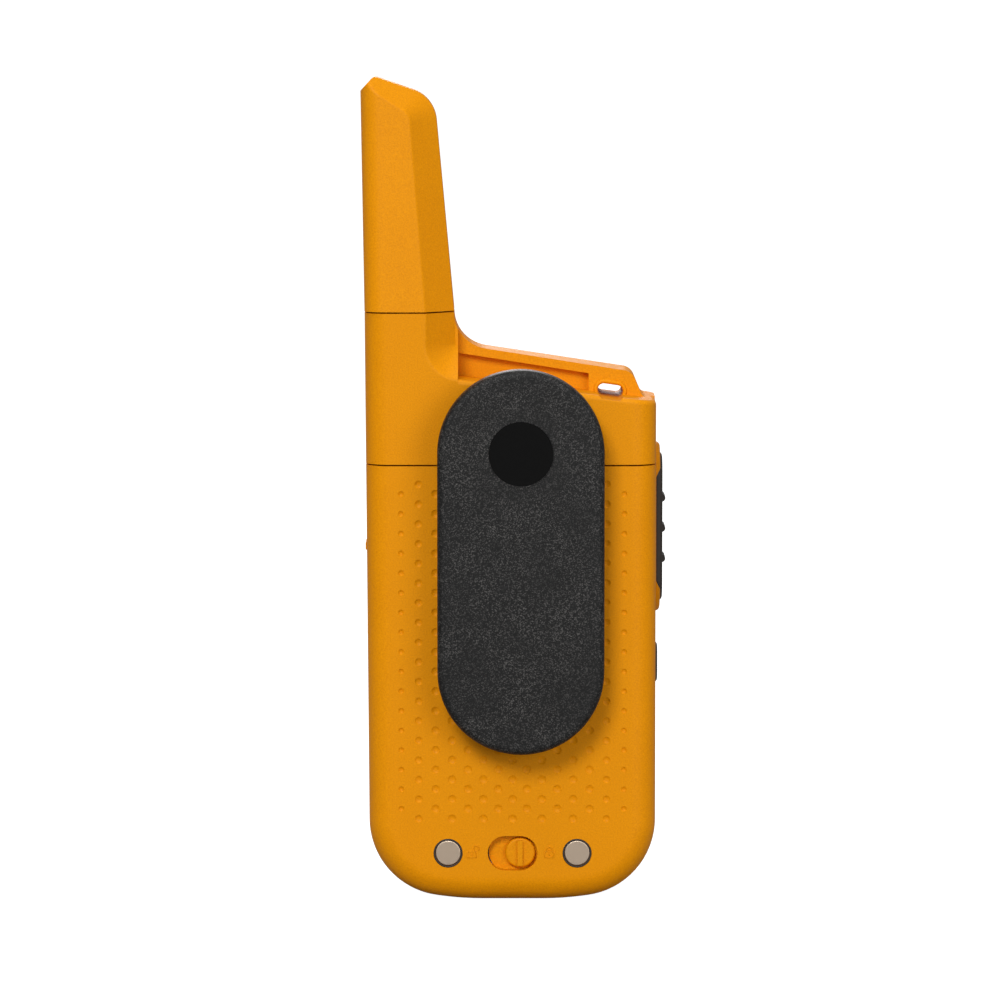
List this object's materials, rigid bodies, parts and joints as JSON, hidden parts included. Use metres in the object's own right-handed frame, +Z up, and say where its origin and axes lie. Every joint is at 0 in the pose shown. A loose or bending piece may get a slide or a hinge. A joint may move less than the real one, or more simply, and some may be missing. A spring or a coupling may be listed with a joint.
{
  "type": "two way radio",
  "caption": "Handheld two way radio with a stub antenna, talk key, sliding battery door and latch, charging contacts, covered ports and a swivelling sprung belt clip.",
  "frame": {"origin": "Centre of the flat foot on which the radio stands.", "axes": "+Z is up along the radio, towards the antenna's tip. +Y points out of the back, where the belt clip is. The antenna is on the +X side and the talk key on the -X side."},
  "size_m": [0.0607, 0.0405, 0.1633],
  "materials": {
    "housing": "moulded amber yellow ABS, fine spark-eroded texture",
    "black_plastic": "black glass-filled nylon",
    "clip_plastic": "black nylon with a coarse glittery texture",
    "gloss_black": "polished black",
    "key_rubber": "black moulded rubber",
    "cover_rubber": "amber yellow elastomer",
    "seal_rubber": "silicone",
    "steel": "bright zinc plate",
    "nickel": "satin nickel plate",
    "copper": "phosphor bronze",
    "circuit_board": "solder mask",
    "chip": "moulded epoxy",
    "clear": "clear polycarbonate",
    "display": "liquid crystal glass",
    "paper": "woven cloth and paper",
    "cell_wrap": "shrink wrap",
    "white_plastic": "acetal"
  },
  "bodies": {
    "radio_body": {"front_housing": "housing", "back_housing": "housing", "housing_seal": "seal_rubber", "housing_screws": "steel", "faceplate": "black_plastic", "display_window": "clear", "display_module": "display", "keypad_membrane": "key_rubber", "lamp_pipe": "clear", "speaker_frame": "black_plastic", "speaker_cone": "paper", "speaker_magnet": "steel", "speaker_cloth": "paper", "microphone": "nickel", "microphone_boot": "seal_rubber", "talk_switch": "chip", "side_button_switch": "chip", "port_hinge_pin": "steel", "audio_jack": "black_plastic", "usb_socket": "nickel", "main_board": "circuit_board", "ui_board": "circuit_board", "board_link": "chip", "rf_shield": "steel", "transceiver_chip": "chip", "control_chip": "chip", "audio_amplifier": "chip", "battery_cell_left": "cell_wrap", "battery_cell_middle": "cell_wrap", "battery_cell_right": "cell_wrap", "battery_springs": "nickel", "battery_plates": "nickel", "charge_springs": "copper", "antenna_sheath": "housing", "antenna_coil": "copper", "antenna_core": "white_plastic", "antenna_foot": "copper"},
    "battery_door": {"battery_door": "housing", "latch_keeper": "white_plastic", "latch_detent": "steel", "charge_contacts": "nickel"},
    "door_latch": {"door_latch": "housing"},
    "talk_key": {"talk_key": "key_rubber"},
    "side_button": {"side_button": "key_rubber"},
    "port_cover": {"port_cover": "cover_rubber"},
    "key_menu": {"key_menu": "key_rubber"},
    "key_call": {"key_call": "key_rubber"},
    "key_up": {"key_up": "key_rubber"},
    "key_down": {"key_down": "key_rubber"},
    "clip_turntable": {"clip_base": "black_plastic", "clip_pin": "steel", "clip_spring": "steel", "clip_retainer": "steel", "clip_screw": "steel"},
    "clip_lever": {"clip_paddle": "clip_plastic", "clip_disc": "gloss_black"}
  },
  "joints": [
    {"name": "talk_key_press", "type": "slide", "parent": "radio_body", "child": "talk_key", "axis": [1, 0, 0], "range_m": [0, 0.0008], "stiffness_N_per_m": 2500, "springref_m": -0.0006},
    {"name": "side_button_press", "type": "slide", "parent": "radio_body", "child": "side_button", "axis": [1, 0, 0], "range_m": [0, 0.0005], "stiffness_N_per_m": 2500, "springref_m": -0.0004},
    {"name": "key_menu_press", "type": "slide", "parent": "radio_body", "child": "key_menu", "axis": [0, 1, 0], "range_m": [0, 0.0006], "stiffness_N_per_m": 1500, "springref_m": -0.0005},
    {"name": "key_call_press", "type": "slide", "parent": "radio_body", "child": "key_call", "axis": [0, 1, 0], "range_m": [0, 0.0006], "stiffness_N_per_m": 1500, "springref_m": -0.0005},
    {"name": "key_up_press", "type": "slide", "parent": "radio_body", "child": "key_up", "axis": [0, 1, 0], "range_m": [0, 0.0006], "stiffness_N_per_m": 1500, "springref_m": -0.0005},
    {"name": "key_down_press", "type": "slide", "parent": "radio_body", "child": "key_down", "axis": [0, 1, 0], "range_m": [0, 0.0006], "stiffness_N_per_m": 1500, "springref_m": -0.0005},
    {"name": "port_cover_hinge", "type": "hinge", "parent": "radio_body", "child": "port_cover", "pos_m": [0.02815, 0, 0.0506], "axis": [0, 1, 0], "range_deg": [0, 100]},
    {"name": "battery_door_slide", "type": "slide", "parent": "radio_body", "child": "battery_door", "axis": [0, 0, -1], "range_m": [0, 0.09]},
    {"name": "door_latch_slide", "type": "slide", "parent": "battery_door", "child": "door_latch", "axis": [1, 0, 0], "range_m": [0, 0.003]},
    {"name": "clip_swivel", "type": "hinge", "parent": "radio_body", "child": "clip_turntable", "pos_m": [-0.0016, 0.015, 0.095], "axis": [0, 1, 0], "continuous": true},
    {"name": "clip_lever_hinge", "type": "hinge", "parent": "clip_turntable", "child": "clip_lever", "pos_m": [-0.0016, 0.02, 0.095], "axis": [1, 0, 0], "range_deg": [0, 14], "stiffness_Nm_per_rad": 0.25, "springref_deg": -20.05}
  ]
}
